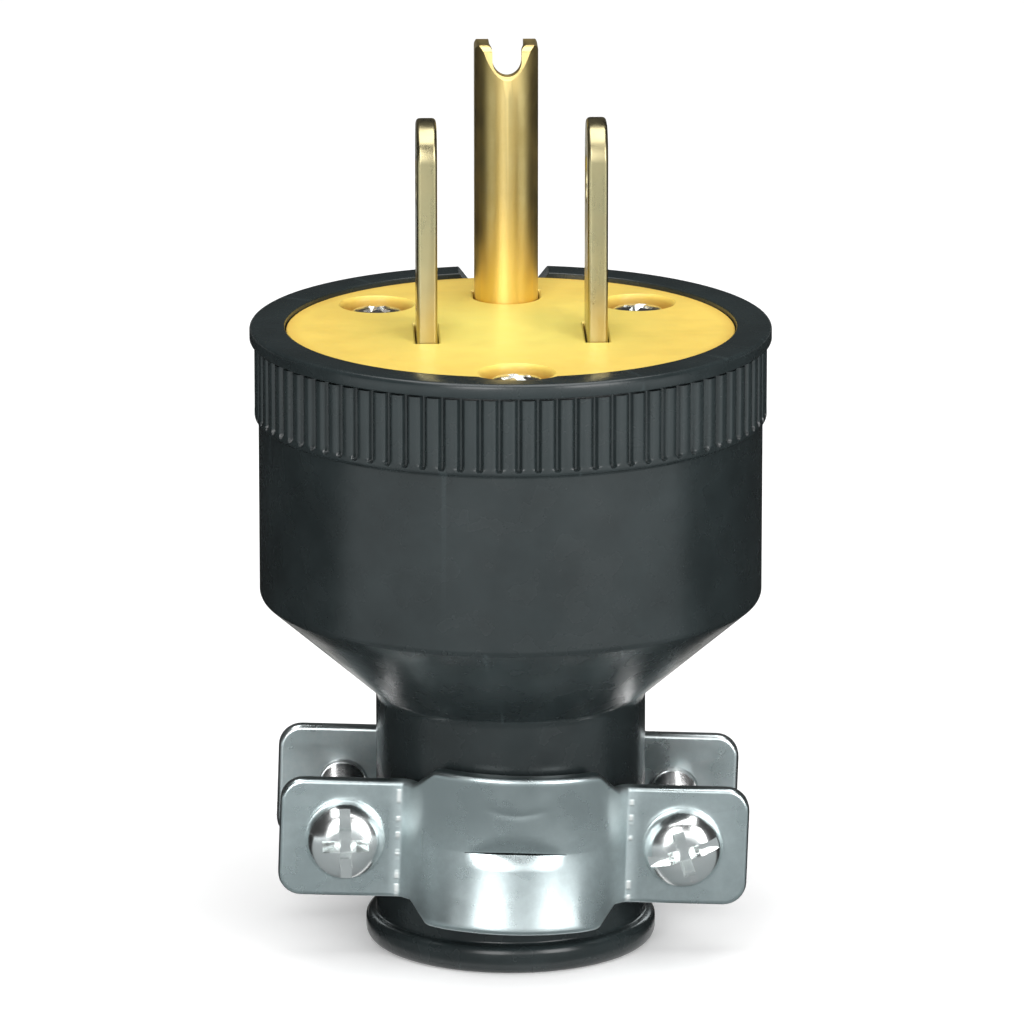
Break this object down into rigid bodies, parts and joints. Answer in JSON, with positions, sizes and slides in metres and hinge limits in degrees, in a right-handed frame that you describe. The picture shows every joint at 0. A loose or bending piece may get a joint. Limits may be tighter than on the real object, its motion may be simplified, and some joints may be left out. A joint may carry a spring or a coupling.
{
  "type": "rubber power plug",
  "caption": "Rewireable black rubber power plug with flat blades and a U-shaped ground pin in a yellow face, a ribbed rim and a screwed metal cord clamp on the neck.",
  "frame": {"origin": "centre of the underside of the cord flange, on which the plug stands", "axes": "+Z along the plug from the cord to the pins, -Y the front with the clamp screw heads, the ground pin at +Y, +X to the right seen from the front"},
  "size_m": [0.0392, 0.039, 0.0672],
  "materials": {
    "black_rubber": "matt moulded rubber with a faint sheen",
    "yellow_plastic": "smooth moulded",
    "dark_plastic": "moulded",
    "blade_brass": "stamped, pale",
    "pin_brass": "stamped, golden",
    "plate_brass": "stamped",
    "plate_nickel": "nickel plated",
    "screw_brass": "turned",
    "screw_nickel": "nickel plated",
    "screw_green": "green dyed plating",
    "zinc_screw": "zinc plated",
    "zinc_sheet": "zinc plated sheet"
  },
  "bodies": {
    "root": {"rubber_body": "black_rubber", "face_plate": "yellow_plastic", "terminal_block": "dark_plastic", "line_blade": "blade_brass", "neutral_blade": "blade_brass", "ground_pin": "pin_brass", "line_wire_plate": "plate_brass", "neutral_wire_plate": "plate_nickel", "ground_wire_plate": "plate_brass", "line_terminal_screw": "screw_brass", "neutral_terminal_screw": "screw_nickel", "ground_terminal_screw": "screw_green", "face_screws": "zinc_screw", "clamp_front_half": "zinc_sheet", "clamp_rear_half": "zinc_sheet", "clamp_screws": "zinc_screw"}
  },
  "joints": []
}
